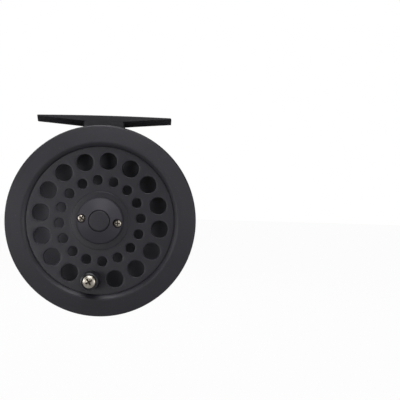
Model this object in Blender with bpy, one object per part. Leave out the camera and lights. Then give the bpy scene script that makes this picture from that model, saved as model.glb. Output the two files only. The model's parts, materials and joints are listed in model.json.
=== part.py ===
"""Fly reel with a drilled spool, an exposed palming rim and an off-centre drag knob.

Frame: the origin is the middle of the foot's flat seat, +Z points up to the rod, the spindle lies along Y
and the spool's drilled face looks towards -Y. Sizes in the constants are millimetres and are turned to metres
on the way in. Turned profiles are (radius, y) pairs and flat outlines are (x, z) pairs, both counted from the
spindle's axis.
"""

import math

import bmesh
import bpy

MM = 0.001
GAP = 0.3

# The spindle hangs below the foot's seat, and the spool stands a little turned, as it came to rest.
AXIS_DROP = 47.6
SPOOL_TURN = math.radians(6.5)

# Spool: rim, drilled face, drum
RIM_R = 43.0
RIM_CREST_R = 36.8
RIM_CREST_Y = -11.4
RIM_EDGE_R = 42.4
RIM_EDGE_Y = -10.1
RIM_SKIRT_Y = -4.5
RIM_INNER_R = 41.4
FACE_R = 33.1
FACE_FRONT = -10.0
FACE_BACK = -8.0
BOSS_R = 14.0
BOSS_FRONT = -10.25
HOLE_COUNT = 16
BIG_PITCH_R = 26.9
BIG_HOLE_R = 3.78
SMALL_PITCH_R = 18.3
SMALL_HOLE_R = 2.15
HANDLE_PLACE = 8
INSERT_HOLE_R = 2.7
FLANGE_R = 37.6
FLANGE_FRONT = 4.5
FLANGE_BACK = 6.0
ARBOR_R = 15.0
ARBOR_WALL = 2.0
DRUM_R = 12.0
DRUM_WALL = 1.5
DRUM_BACK = 8.0

# Spindle, bush and click gear
SPINDLE_R = 3.0
SPINDLE_NECK_R = 2.1
SPINDLE_TIP = -12.4
SPINDLE_END = 13.7
NECK_FRONT = -11.8
NECK_BACK = -10.6
SPINDLE_FLANGE_R = 6.5
SPINDLE_FLANGE_FRONT = 10.6
SPINDLE_FLANGE_BACK = 11.6
BUSH_BORE_R = 3.1
BUSH_R = 6.0
BUSH_NOSE_R = 4.5
BUSH_FRONT = -10.3
GEAR_TEETH = 24
GEAR_TIP_R = 10.0
GEAR_ROOT_R = 8.5
GEAR_FRONT = 6.3
GEAR_BACK = 10.3

# Hub cap, release button and latch
CAP_R = 10.4
CAP_BACK = -10.55
CAP_EDGE = -11.7
CAP_TOP = -14.6
CAP_POCKET_R = 6.3
CAP_POCKET_TOP = -13.6
HUB_SCREW_R = 8.1
HUB_SCREW_HEAD_R = 1.55
HUB_SCREW_HOLE_R = 1.0
HUB_COUNTERBORE_R = 1.9
HUB_COUNTERBORE_FLOOR = -11.5
HUB_SCREW_TOP = -12.7
HUB_SCREW_SEAT = -11.8
HUB_SCREW_TIP = -8.4
BUTTON_R = 4.6
BUTTON_TOP = -15.4
BUTTON_FLANGE_R = 5.6
BUTTON_FLANGE_FRONT = -13.3
BUTTON_HOLLOW_R = 3.4
BUTTON_HOLLOW_TOP = -13.9
BUTTON_FLANGE_BACK = -12.8
LATCH_FRONT = -11.5
LATCH_BACK = -10.9
LATCH_HOLE_R = 3.25
LATCH_HOLE_OFFSET = -0.9
LATCH_NOTCH_END = 3.5
LATCH_END = 4.6
LATCH_TAIL = -5.0
LATCH_HALF_WIDTH = 4.2
SPRING_SLOT_END = 9.2

# Handle
HANDLE_BASE_R = 4.15
HANDLE_END_R = 3.6
HANDLE_BASE = -10.3
HANDLE_END = -21.2
HANDLE_BORE_R = 2.3
HANDLE_RECESS_R = 3.05
HANDLE_RECESS = 0.9
HANDLE_HEAD_R = 2.75
SLEEVE_R = 2.0
INSERT_R = 2.4
INSERT_FRONT = -9.7
INSERT_BACK = -7.6
SCREW_SHANK_R = 1.1

# Cage and back plate
CAGE_IN_R = 38.6
CAGE_OUT_R = 40.4
CAGE_FRONT = -8.3
CAGE_BACK = 10.1
CAGE_RING_R = 41.0
CAGE_REAR_IN_R = 34.9
CAGE_REAR_FRONT = 8.6
WINDOW_FRONT = -6.0
WINDOW_BACK = 8.3
WINDOWS = ((-52, -12), (-101, -58), (-168, -108))
PLATE_R = 40.8
PLATE_FLAT_R = 34.4
PLATE_FACE = 15.0
PLATE_INSIDE = 13.0
PLATE_EDGE = 10.4
PLATE_BLIND_HOLE = 14.0
PLATE_BOSS_R = 7.7
CAGE_SCREW_PITCH_R = 36.9
CAGE_SCREW_ANGLES = (45, 135, 225, 315)

# Drag
KNOB_HEIGHT = 21.5
KNOB_R = 9.0
KNOB_TOP = 20.4
KNOB_STEP = 3.2
KNOB_STEP_OFFSET = 3.4
KNOB_STEP_ANGLE = math.radians(221)
KNOB_SHAFT_R = 2.5
KNOB_HOLLOW_R = 5.2
KNOB_HOLLOW = 16.8
KNOB_THREAD_END = 14.0
CAM_FRONT = 6.4
CAM_BACK = 9.4
CAM_R = 7.0
CAM_RISE = 0.6
CAM_TURN = math.radians(270)
PAD_R = 8.6
PAD_BACK = 7.9

# Click pawl
PAWL_PIVOT = (-11.5, -11.0)
PAWL_FRONT = 8.4
PAWL_BACK = 10.2
PAWL_POST_R = 1.2
PAWL_POST_HEAD_R = 2.0
PAWL_POST_FRONT = 7.4
PAWL_POST_BACK = 13.9

# Line guard
GUARD_R = 40.9
GUARD_ROD_R = 0.9
GUARD_FRONT = -3.4
GUARD_BACK = 5.6
GUARD_FROM = -104.5
GUARD_TO = -55.0
GUARD_CORNER = 1.6

# Foot
FOOT_HALF_LENGTH = 30.4
FOOT_HALF_WIDTH = 5.0
FOOT_TIP_HALF_WIDTH = 4.0
FOOT_TIP_THICK = 2.8
FOOT_ROOT_THICK = 4.8
FOOT_ROOT_X = 9.4
FOOT_SLOPE_DEPTH = 2.3
FOOT_KEEL = 0.3
PEDESTAL_HALF_WIDTH = 9.0
PEDESTAL_FRONT = -4.2
PEDESTAL_BACK = 4.8
FOOT_SCREW_X = 5.5

# Facets of turned shapes, and where a drilled circle's first corner lies, in degrees
ROUND = 48
MEDIUM = 24
SMALL = 18
CIRCLE_START = 5.3


def clear_scene():
    for old in list(bpy.data.objects):
        bpy.data.objects.remove(old)


def material(name, colour, roughness, metallic=0.0):
    made = bpy.data.materials.new(name)
    made.use_nodes = True
    shader = made.node_tree.nodes["Principled BSDF"]
    shader.inputs["Base Color"].default_value = (*colour, 1.0)
    shader.inputs["Roughness"].default_value = roughness
    shader.inputs["Metallic"].default_value = metallic
    return made


def place(name, mesh_source, finish, parent):
    mesh = bpy.data.meshes.new(name)
    mesh_source.to_mesh(mesh)
    mesh_source.free()
    mesh.shade_smooth()
    mesh.set_sharp_from_angle(angle=math.radians(35))
    part = bpy.data.objects.new(name, mesh)
    bpy.context.scene.collection.objects.link(part)
    part.parent = parent
    if finish is None:
        part.hide_render = True
        part.display_type = "WIRE"
    else:
        mesh.materials.append(finish)
    return part


def pivot(name, x, z, parent=None, turn=0.0):
    empty = bpy.data.objects.new(name, None)
    bpy.context.scene.collection.objects.link(empty)
    empty.parent = parent
    empty.location = (x * MM, 0, z * MM)
    empty.rotation_euler = (0, turn, 0)
    return empty


def turned(name, profile, finish, parent, steps=MEDIUM):
    """Spins a closed (radius, y) outline about the Y axis. A stretch along the axis itself is left open."""
    shape = bmesh.new()
    points = [shape.verts.new((r * MM, y * MM, 0)) for r, y in profile]
    ends = zip(profile, profile[1:] + profile[:1])
    for i, (here, there) in enumerate(ends):
        if here[0] > 0 or there[0] > 0:
            shape.edges.new((points[i], points[(i + 1) % len(points)]))
    bmesh.ops.spin(
        shape,
        geom=shape.verts[:] + shape.edges[:],
        cent=(0, 0, 0),
        axis=(0, 1, 0),
        angle=2 * math.pi,
        steps=steps,
        use_merge=True,
    )
    bmesh.ops.remove_doubles(shape, verts=shape.verts, dist=0.001 * MM)
    bmesh.ops.recalc_face_normals(shape, faces=shape.faces)
    return place(name, shape, finish, parent)


def cut_out(name, outline, front, back, finish, parent):
    """Extrudes a closed (x, z) outline from y = front to y = back."""
    shape = bmesh.new()
    face = shape.faces.new([shape.verts.new((x * MM, front * MM, z * MM)) for x, z in outline])
    grown = bmesh.ops.extrude_face_region(shape, geom=[face])
    moved = [v for v in grown["geom"] if isinstance(v, bmesh.types.BMVert)]
    bmesh.ops.translate(shape, verts=moved, vec=(0, (back - front) * MM, 0))
    bmesh.ops.recalc_face_normals(shape, faces=shape.faces)
    return place(name, shape, finish, parent)


def drills(name, outlines, front, back, parent):
    """Several hidden cutters in one object, each an outline extruded from y = front to y = back."""
    shape = bmesh.new()
    for outline in outlines:
        shape.faces.new([shape.verts.new((x * MM, front * MM, z * MM)) for x, z in outline])
    grown = bmesh.ops.extrude_face_region(shape, geom=shape.faces[:])
    moved = [v for v in grown["geom"] if isinstance(v, bmesh.types.BMVert)]
    bmesh.ops.translate(shape, verts=moved, vec=(0, (back - front) * MM, 0))
    bmesh.ops.recalc_face_normals(shape, faces=shape.faces)
    return place(name, shape, None, parent)


def arc(radius, start, end, steps, centre=(0, 0)):
    """Points on an arc, in degrees counted from +X towards +Z."""
    found = []
    for i in range(steps + 1):
        angle = math.radians(start + (end - start) * i / steps)
        found.append((centre[0] + radius * math.cos(angle), centre[1] + radius * math.sin(angle)))
    return found


def circle(radius, steps, centre=(0, 0)):
    return arc(radius, CIRCLE_START, CIRCLE_START + 360, steps, centre)[:-1]


def sector(inner, outer, start, end, steps=12):
    return arc(outer, start, end, steps) + arc(inner, end, start, steps)


def combine(part, other, operation):
    step = part.modifiers.new(other.name, "BOOLEAN")
    step.object = other
    step.operation = operation
    step.solver = "EXACT"


def cut(part, *cutters):
    for cutter in cutters:
        combine(part, cutter, "DIFFERENCE")


def join(part, *others):
    for other in others:
        combine(part, other, "UNION")


def shaft(name, radius, front, back, centre, parent, steps=SMALL):
    """A hidden cylinder along Y that cuts a hole."""
    return cut_out(name, circle(radius, steps, centre), front, back, None, parent)


def screw(name, head_r, head_front, head_back, tip, shank_r, finish, parent, steps=SMALL):
    """A domed screw along Y, its head at the -Y end."""
    profile = [
        (0, head_front),
        (head_r * 0.7, head_front + 0.12 * (head_back - head_front)),
        (head_r, head_front + 0.5 * (head_back - head_front)),
        (head_r, head_back),
        (shank_r, head_back),
        (shank_r, tip - shank_r * 0.6),
        (shank_r * 0.4, tip),
        (0, tip),
    ]
    return turned(name, profile, finish, parent, steps)


def make_rim(finish, parent):
    profile = [
        (FACE_R + GAP, -9.7),
        (33.9, -10.3),
        (35.2, -11.0),
        (RIM_CREST_R, RIM_CREST_Y),
        (RIM_EDGE_R, RIM_EDGE_Y),
        (RIM_R, RIM_EDGE_Y + 0.7),
        (RIM_R, RIM_SKIRT_Y - 0.5),
        (RIM_R - 0.2, RIM_SKIRT_Y),
        (RIM_INNER_R + 0.2, RIM_SKIRT_Y),
        (RIM_INNER_R, RIM_SKIRT_Y - 0.5),
        (RIM_INNER_R, -8.6),
        (40.8, -9.1),
        (37.4, -9.9),
        (36.2, -9.5),
        (35.2, -8.6),
        (34.8, -6.2),
        (31.3, -6.2),
        (31.3, FACE_BACK + GAP),
        (FACE_R + GAP, FACE_BACK + GAP),
    ]
    turned("palming_rim", profile, finish, parent, ROUND)


def pitch_point(radius, angle):
    """A point on a pitch circle, its angle counted clockwise from the top as seen from the front."""
    return (radius * math.sin(angle), radius * math.cos(angle))


def make_face(finish, parent):
    profile = [
        (BUSH_R + GAP, BOSS_FRONT),
        (BOSS_R - 0.3, BOSS_FRONT),
        (BOSS_R, FACE_FRONT),
        (FACE_R - 0.3, FACE_FRONT),
        (FACE_R, FACE_FRONT + 0.4),
        (FACE_R, FACE_BACK),
        (BUSH_R + GAP, FACE_BACK),
    ]
    face = turned("spool_face", profile, finish, parent, ROUND)
    step = 2 * math.pi / HOLE_COUNT
    outlines = []
    for i in range(HOLE_COUNT):
        radius = BIG_HOLE_R if i != HANDLE_PLACE else INSERT_HOLE_R
        outlines.append(circle(radius, 14, pitch_point(BIG_PITCH_R, i * step)))
        outlines.append(circle(SMALL_HOLE_R, 10, pitch_point(SMALL_PITCH_R, (i + 0.5) * step)))
    for side in (-1, 1):
        outlines.append(circle(HUB_SCREW_HOLE_R, 10, (side * HUB_SCREW_R, 0)))
    cut(face, drills("face_holes", outlines, BOSS_FRONT - 1, FACE_BACK + 1, parent))


def make_arbor(finish, parent):
    hollow = ARBOR_R - ARBOR_WALL
    profile = [
        (BUSH_R + GAP, FLANGE_FRONT),
        (hollow, FLANGE_FRONT),
        (hollow, FACE_BACK + GAP),
        (ARBOR_R, FACE_BACK + GAP),
        (ARBOR_R, FLANGE_FRONT),
        (FLANGE_R - 0.6, FLANGE_FRONT),
        (FLANGE_R, FLANGE_FRONT + 0.5),
        (FLANGE_R, FLANGE_BACK - 0.5),
        (FLANGE_R - 0.6, FLANGE_BACK),
        (DRUM_R, FLANGE_BACK),
        (DRUM_R, DRUM_BACK),
        (DRUM_R - DRUM_WALL, DRUM_BACK),
        (DRUM_R - DRUM_WALL, FLANGE_BACK),
        (BUSH_R + GAP, FLANGE_BACK),
    ]
    turned("spool_arbor", profile, finish, parent, ROUND)


def make_bush(finish, parent):
    profile = [
        (BUSH_BORE_R, BUSH_FRONT),
        (BUSH_R, BUSH_FRONT),
        (BUSH_R, FLANGE_BACK),
        (BUSH_NOSE_R, FLANGE_BACK),
        (BUSH_NOSE_R, GEAR_BACK - 0.1),
        (BUSH_BORE_R, GEAR_BACK - 0.1),
    ]
    turned("spool_bush", profile, finish, parent)


def make_gear(finish, parent):
    """Straight pointed teeth, with a gap between two teeth facing the pawl."""
    outline = []
    pitch = 360 / GEAR_TEETH
    tooth = ((GEAR_ROOT_R, -0.36), (GEAR_TIP_R, -0.09), (GEAR_TIP_R, 0.09), (GEAR_ROOT_R, 0.36))
    for i in range(GEAR_TEETH):
        middle = 180 + (i + 0.5) * pitch
        for radius, offset in tooth:
            angle = math.radians(middle + offset * pitch)
            outline.append((radius * math.cos(angle), radius * math.sin(angle)))
    gear = cut_out("click_gear", outline, GEAR_FRONT, GEAR_BACK, finish, parent)
    cut(gear, shaft("gear_bore", BUSH_NOSE_R + GAP, GEAR_FRONT - 1, GEAR_BACK + 1, (0, 0), parent, 24))


def make_spindle(finish, parent):
    profile = [
        (0, SPINDLE_TIP),
        (SPINDLE_R - 0.3, SPINDLE_TIP),
        (SPINDLE_R, SPINDLE_TIP + 0.3),
        (SPINDLE_R, NECK_FRONT),
        (SPINDLE_NECK_R, NECK_FRONT),
        (SPINDLE_NECK_R, NECK_BACK),
        (SPINDLE_R, NECK_BACK),
        (SPINDLE_R, SPINDLE_FLANGE_FRONT),
        (SPINDLE_FLANGE_R, SPINDLE_FLANGE_FRONT),
        (SPINDLE_FLANGE_R, SPINDLE_FLANGE_BACK),
        (SPINDLE_R, SPINDLE_FLANGE_BACK),
        (SPINDLE_R, SPINDLE_END),
        (0, SPINDLE_END),
    ]
    turned("spindle", profile, finish, parent, SMALL)


def make_hub(plastic, nickel, parent):
    profile = [
        (CAP_POCKET_R, CAP_BACK),
        (CAP_R, CAP_BACK),
        (CAP_R, CAP_EDGE),
        (CAP_R - 0.4, CAP_EDGE - 0.5),
        (BUTTON_R + 0.5, CAP_TOP),
        (BUTTON_R + GAP, CAP_TOP + 0.2),
        (BUTTON_R + GAP, CAP_POCKET_TOP),
        (CAP_POCKET_R, CAP_POCKET_TOP),
    ]
    cap = turned("hub_cap", profile, plastic, parent, MEDIUM)
    slot = [(-1.6, 3), (1.6, 3), (1.6, SPRING_SLOT_END), (-1.6, SPRING_SLOT_END)]
    cut(cap, cut_out("spring_slot", slot, -12.7, -10, None, parent))
    for side, word in ((-1, "left"), (1, "right")):
        centre = (side * HUB_SCREW_R, 0)
        deep = (-16, HUB_COUNTERBORE_FLOOR)
        counterbore = shaft(f"hub_counterbore_{word}", HUB_COUNTERBORE_R, *deep, centre, parent)
        clearance = shaft(f"hub_clearance_{word}", HUB_SCREW_HOLE_R, -13, -10, centre, parent, 12)
        cut(cap, counterbore, clearance)
        hold = pivot(f"hub_screw_axis_{word}", side * HUB_SCREW_R, 0, parent)
        ends = (HUB_SCREW_TOP, HUB_SCREW_SEAT, HUB_SCREW_TIP)
        screw(f"hub_screw_{word}", HUB_SCREW_HEAD_R, *ends, 0.7, nickel, hold, 16)


def make_button(finish, parent):
    profile = [
        (0, BUTTON_TOP),
        (BUTTON_R - 0.5, BUTTON_TOP + 0.1),
        (BUTTON_R, BUTTON_TOP + 0.5),
        (BUTTON_R, BUTTON_FLANGE_FRONT),
        (BUTTON_FLANGE_R, BUTTON_FLANGE_FRONT),
        (BUTTON_FLANGE_R, BUTTON_FLANGE_BACK),
        (BUTTON_HOLLOW_R, BUTTON_FLANGE_BACK),
        (BUTTON_HOLLOW_R, BUTTON_HOLLOW_TOP),
        (0, BUTTON_HOLLOW_TOP),
    ]
    button = turned("release_button", profile, finish, parent, MEDIUM)
    # The peg's far side slopes at 45 degrees, so pushing it in carries the latch along by the same distance.
    tip = BUTTON_FLANGE_BACK + 1.0
    shape = bmesh.new()
    side = ((tip, 3.35), (tip, 3.6), (BUTTON_FLANGE_BACK - 0.2, 4.8), (BUTTON_FLANGE_BACK - 0.2, 3.5))
    ring = [shape.verts.new((-0.5 * MM, y * MM, z * MM)) for y, z in side]
    grown = bmesh.ops.extrude_face_region(shape, geom=[shape.faces.new(ring)])
    moved = [v for v in grown["geom"] if isinstance(v, bmesh.types.BMVert)]
    bmesh.ops.translate(shape, verts=moved, vec=(1.0 * MM, 0, 0))
    bmesh.ops.recalc_face_normals(shape, faces=shape.faces)
    join(button, place("button_peg", shape, None, parent))


def make_latch(finish, parent):
    half = LATCH_HALF_WIDTH
    outline = [
        (-half, LATCH_TAIL + 1.6),
        (-half + 1.6, LATCH_TAIL),
        (half - 1.6, LATCH_TAIL),
        (half, LATCH_TAIL + 1.6),
        (half, LATCH_END - 1.6),
        (half - 1.6, LATCH_END),
        (-half + 1.6, LATCH_END),
        (-half, LATCH_END - 1.6),
    ]
    latch = cut_out("spool_latch", outline, LATCH_FRONT, LATCH_BACK, finish, parent)
    middle = (0, LATCH_HOLE_OFFSET)
    cut(latch, shaft("latch_hole", LATCH_HOLE_R, -13, -10, middle, parent, 24))
    notch = [(-0.8, 0), (0.8, 0), (0.8, LATCH_NOTCH_END), (-0.8, LATCH_NOTCH_END)]
    cut(latch, cut_out("latch_notch", notch, -13, -10, None, parent))


def make_latch_spring(finish, parent):
    """A short coil along Z between the latch's end and the end of the cap's slot."""
    turns, per_turn, radius, wire = 4, 9, 0.62, 0.17
    start, end = LATCH_END + 0.6, SPRING_SLOT_END - 0.5
    curve = bpy.data.curves.new("latch_spring", "CURVE")
    curve.dimensions = "3D"
    curve.bevel_depth = wire * MM
    curve.bevel_resolution = 1
    curve.use_fill_caps = True
    line = curve.splines.new("POLY")
    count = turns * per_turn + 1
    line.points.add(count - 1)
    middle = (LATCH_FRONT + LATCH_BACK) / 2 - 0.4
    for i, point in enumerate(line.points):
        angle = 2 * math.pi * i / per_turn
        along = start + (end - start) * i / (count - 1)
        x, y = radius * math.cos(angle), middle + radius * math.sin(angle)
        point.co = (x * MM, y * MM, along * MM, 1)
    spring = bpy.data.objects.new("latch_spring", curve)
    bpy.context.scene.collection.objects.link(spring)
    spring.parent = parent
    curve.materials.append(finish)
    pitch = (end - start) / turns
    print(f"latch_spring: gap between coils {pitch - 2 * wire:.2f} mm")


def make_handle(plastic, nickel, brass, axis):
    profile = [
        (HANDLE_BORE_R, HANDLE_BASE),
        (HANDLE_BASE_R - 0.3, HANDLE_BASE),
        (HANDLE_BASE_R, HANDLE_BASE - 0.4),
        (HANDLE_BASE_R - 0.1, -13.5),
        (HANDLE_END_R + 0.15, -18.0),
        (HANDLE_END_R, HANDLE_END + 0.5),
        (HANDLE_END_R - 0.4, HANDLE_END),
        (HANDLE_RECESS_R, HANDLE_END),
        (HANDLE_RECESS_R, HANDLE_END + HANDLE_RECESS),
        (HANDLE_BORE_R, HANDLE_END + HANDLE_RECESS),
    ]
    turned("handle_knob", profile, plastic, axis, SMALL)
    sleeve = [
        (SCREW_SHANK_R + GAP, HANDLE_BASE),
        (SLEEVE_R, HANDLE_BASE),
        (SLEEVE_R, HANDLE_END + 0.6),
        (SCREW_SHANK_R + GAP, HANDLE_END + 0.6),
    ]
    turned("handle_sleeve", sleeve, nickel, axis, SMALL)
    insert = [
        (SCREW_SHANK_R + GAP, INSERT_FRONT),
        (INSERT_R, INSERT_FRONT),
        (INSERT_R, INSERT_BACK),
        (SCREW_SHANK_R + GAP, INSERT_BACK),
    ]
    turned("handle_insert", insert, brass, axis, SMALL)
    seat = HANDLE_END + 0.2
    screw("handle_screw", HANDLE_HEAD_R, seat - 1.5, seat, -7.4, SCREW_SHANK_R, nickel, axis, 24)


def make_cage(finish, guard_cutter, parent):
    profile = [
        (CAGE_IN_R, CAGE_FRONT),
        (CAGE_RING_R, CAGE_FRONT),
        (CAGE_RING_R, -6.3),
        (CAGE_OUT_R, -5.9),
        (CAGE_OUT_R, CAGE_BACK),
        (CAGE_REAR_IN_R, CAGE_BACK),
        (CAGE_REAR_IN_R, CAGE_REAR_FRONT),
        (CAGE_IN_R, CAGE_REAR_FRONT),
    ]
    cage = turned("cage", profile, finish, parent, ROUND)
    for i, (start, end) in enumerate(WINDOWS):
        wedge = sector(CAGE_IN_R - 3, CAGE_RING_R + 4, start, end)
        cut(cage, cut_out(f"window_{i}", wedge, WINDOW_FRONT, WINDOW_BACK, None, parent))
    cut(cage, guard_cutter)
    return cage


def make_plate(finish, parent):
    profile = [
        (0, PLATE_FACE),
        (PLATE_FLAT_R, PLATE_FACE),
        (PLATE_FLAT_R + 0.4, PLATE_FACE - 0.12),
        (PLATE_R - 0.5, 12.1),
        (PLATE_R, 11.5),
        (PLATE_R, PLATE_EDGE),
        (35.4, PLATE_EDGE),
        (35.4, 11.6),
        (33.4, PLATE_INSIDE),
        (PLATE_BOSS_R, PLATE_INSIDE),
        (PLATE_BOSS_R, SPINDLE_FLANGE_BACK + GAP),
        (SPINDLE_R + GAP, SPINDLE_FLANGE_BACK + GAP),
        (SPINDLE_R + GAP, PLATE_BLIND_HOLE),
        (0, PLATE_BLIND_HOLE),
    ]
    plate = turned("back_plate", profile, finish, parent, ROUND)
    cut(plate, shaft("knob_hole", KNOB_SHAFT_R + GAP, 11, 17, (0, KNOB_HEIGHT), parent, 24))
    cut(plate, shaft("pawl_post_hole", PAWL_POST_R + GAP, 11, 14.3, PAWL_PIVOT, parent))
    return plate


def make_cage_screws(finish, cage, plate, parent):
    for i, angle in enumerate(CAGE_SCREW_ANGLES, 1):
        spot = arc(CAGE_SCREW_PITCH_R, angle, angle, 1)[0]
        hole = shaft(f"cage_screw_hole_{i}", 1.1, 7, 12.5, spot, parent, 12)
        cut(cage, hole)
        cut(plate, hole)
        hold = pivot(f"cage_screw_axis_{i}", *spot, parent)
        screw(f"cage_screw_{i}", 1.45, 7.2, 8.3, 12.1, 0.8, finish, hold, 12)


def guard_path(steps=10):
    """A closed bent loop: along the front, across, back along the rear, and across again."""
    turn = math.degrees(GUARD_CORNER / GUARD_R)
    points = []
    for y, other, start, end in (
        (GUARD_FRONT, GUARD_BACK, GUARD_FROM, GUARD_TO),
        (GUARD_BACK, GUARD_FRONT, GUARD_TO, GUARD_FROM),
    ):
        ahead = math.copysign(turn, end - start)
        inward = math.copysign(GUARD_CORNER, other - y)
        points += [(x, y, z) for x, z in arc(GUARD_R, start + ahead, end - ahead, steps)]
        bend, (x, z) = arc(GUARD_R, end - 0.3 * ahead, end, 1)
        points.append((bend[0], y + 0.3 * inward, bend[1]))
        points.append((x, y + inward, z))
        points.append((x, other - inward, z))
        points.append((bend[0], other - 0.3 * inward, bend[1]))
    return points


def guard_tube(name, radius, parent):
    curve = bpy.data.curves.new(name, "CURVE")
    curve.dimensions = "3D"
    curve.bevel_depth = radius * MM
    curve.bevel_resolution = 1
    line = curve.splines.new("POLY")
    route = guard_path()
    line.points.add(len(route) - 1)
    for point, (x, y, z) in zip(line.points, route):
        point.co = (x * MM, y * MM, z * MM, 1)
    line.use_cyclic_u = True
    tube = bpy.data.objects.new(name, curve)
    bpy.context.scene.collection.objects.link(tube)
    tube.parent = parent
    return tube


def make_guard(finish, parent):
    guard = guard_tube("line_guard", GUARD_ROD_R, parent)
    guard.data.materials.append(finish)
    thick = guard_tube("guard_seat", GUARD_ROD_R + GAP, parent)
    solid = bpy.data.meshes.new_from_object(thick)
    bpy.data.objects.remove(thick)
    seat = bpy.data.objects.new("guard_seat", solid)
    bpy.context.scene.collection.objects.link(seat)
    seat.parent = parent
    seat.hide_render = True
    seat.display_type = "WIRE"
    return seat


def make_knob(plastic, brass, steel, rubber, lining, axis):
    profile = [
        (0, KNOB_TOP),
        (4.0, KNOB_TOP - 0.2),
        (6.8, KNOB_TOP - 0.8),
        (8.4, KNOB_TOP - 1.8),
        (KNOB_R, KNOB_TOP - 3.0),
        (KNOB_R, PLATE_FACE + GAP),
        (KNOB_HOLLOW_R, PLATE_FACE + GAP),
        (KNOB_HOLLOW_R, KNOB_HOLLOW),
        (KNOB_SHAFT_R, KNOB_HOLLOW),
        (KNOB_SHAFT_R, CAM_BACK + GAP),
        (SCREW_SHANK_R, CAM_BACK + GAP),
        (SCREW_SHANK_R, KNOB_THREAD_END),
        (0, KNOB_THREAD_END),
    ]
    knob = turned("drag_knob", profile, plastic, axis, MEDIUM)
    # A slice off one side leaves the straight step that the fingers push against.
    reach = 2 * KNOB_R
    out = (-math.cos(KNOB_STEP_ANGLE), math.sin(KNOB_STEP_ANGLE))
    across = (-out[1], out[0])
    outline = []
    for far, side in ((KNOB_STEP_OFFSET, -reach), (reach, -reach), (reach, reach), (KNOB_STEP_OFFSET, reach)):
        outline.append((far * out[0] + side * across[0], far * out[1] + side * across[1]))
    cut(knob, cut_out("knob_step", outline, KNOB_TOP - KNOB_STEP, KNOB_TOP + 2, None, axis))
    ring = []
    for i in range(8):
        angle = 2 * math.pi * i / 8
        ring.append((3.7 + 0.55 * math.cos(angle), 16.0 + 0.55 * math.sin(angle)))
    turned("knob_o_ring", ring, rubber, axis, SMALL)
    cam = cut_out("drag_cam", spiral(CAM_R), CAM_FRONT, CAM_BACK, brass, axis)
    cut(cam, shaft("cam_counterbore", 1.9, 5, 7.7, (0, 0), axis))
    cut(cam, shaft("cam_hole", 1.1, 5, 11, (0, 0), axis, 12))
    screw("drag_cam_screw", 1.6, 6.5, 7.4, 12.8, 0.8, steel, axis, 14)
    pad = cut_out("brake_pad", spiral(PAD_R), CAM_FRONT, PAD_BACK, lining, axis)
    cut(pad, cut_out("pad_bore", spiral(CAM_R + GAP), CAM_FRONT - 1, CAM_BACK + 1, None, axis))


def spiral(base, steps=30, closing=8):
    """A cam's outline: the radius facing the drum grows evenly as the knob turns clockwise from behind."""
    top = base + CAM_RISE
    polar = [(base + CAM_RISE * i / steps, CAM_TURN * i / steps) for i in range(steps + 1)]
    rest = 2 * math.pi - CAM_TURN
    polar += [(top - CAM_RISE * i / closing, CAM_TURN + rest * i / closing) for i in range(1, closing)]
    return [(-radius * math.sin(turn), -radius * math.cos(turn)) for radius, turn in polar]


def make_pawl(brass, steel, frame, axis):
    """The pawl's outline is given from its pivot: an eye, an arm up the gear's side and a wedge nose."""
    nose_x, nose_z = -PAWL_PIVOT[0], -PAWL_PIVOT[1]
    reach = nose_x - 8.95
    root = nose_x - GEAR_TIP_R - 0.6
    outline = arc(2.5, 150, 390, 14)
    outline += [
        (root, nose_z - 2.2),
        (root, nose_z - 0.75),
        (reach, nose_z - 0.25),
        (reach, nose_z + 0.25),
        (root, nose_z + 0.75),
        (root - 0.4, nose_z + 1.6),
        (root - 2.4, nose_z + 1.6),
    ]
    pawl = cut_out("click_pawl", outline, PAWL_FRONT, PAWL_BACK, brass, axis)
    cut(pawl, shaft("pawl_eye", PAWL_POST_R + 0.1, PAWL_FRONT - 1, PAWL_BACK + 1, (0, 0), axis))
    hold = pivot("pawl_post_axis", *PAWL_PIVOT, frame)
    profile = [
        (0, PAWL_POST_FRONT),
        (PAWL_POST_HEAD_R, PAWL_POST_FRONT),
        (PAWL_POST_HEAD_R, PAWL_FRONT - GAP),
        (PAWL_POST_R, PAWL_FRONT - GAP),
        (PAWL_POST_R, PAWL_POST_BACK),
        (0, PAWL_POST_BACK),
    ]
    turned("pawl_post", profile, steel, hold, 16)
    # A flat strip from the cage side leans on the pawl's back.
    back_x = PAWL_PIVOT[0] + root - 2.4 - GAP
    strip = [
        (back_x - 0.5, 2.2),
        (back_x, 2.2),
        (back_x, -1.2),
        (back_x - 0.4, -1.8),
        (back_x - 0.9, -1.4),
        (back_x - 0.5, -0.6),
    ]
    anchor = [(back_x - 3.2, 13.6), (back_x - 2.2, 13.6)]
    outline = [strip[0]] + [anchor[0]] + [anchor[1]] + strip[1:]
    cut_out("pawl_spring", outline, PAWL_FRONT + 0.2, PLATE_INSIDE - GAP, steel, frame)


def foot_section(shape, x):
    """One slice of the foot across Y: flat seat, upright sides and a narrower keel."""
    share = max(0.0, (FOOT_HALF_LENGTH - abs(x)) / (FOOT_HALF_LENGTH - FOOT_ROOT_X))
    share = min(1.0, share)
    half = FOOT_TIP_HALF_WIDTH + (FOOT_HALF_WIDTH - FOOT_TIP_HALF_WIDTH) * share
    thick = FOOT_TIP_THICK + (FOOT_ROOT_THICK - FOOT_TIP_THICK) * share
    side = thick - FOOT_SLOPE_DEPTH
    keel = FOOT_KEEL * half
    ring = (
        (half, 0),
        (half, -side),
        (keel, -thick),
        (-keel, -thick),
        (-half, -side),
        (-half, 0),
    )
    return [shape.verts.new((x * MM, y * MM, z * MM)) for y, z in ring]


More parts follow.
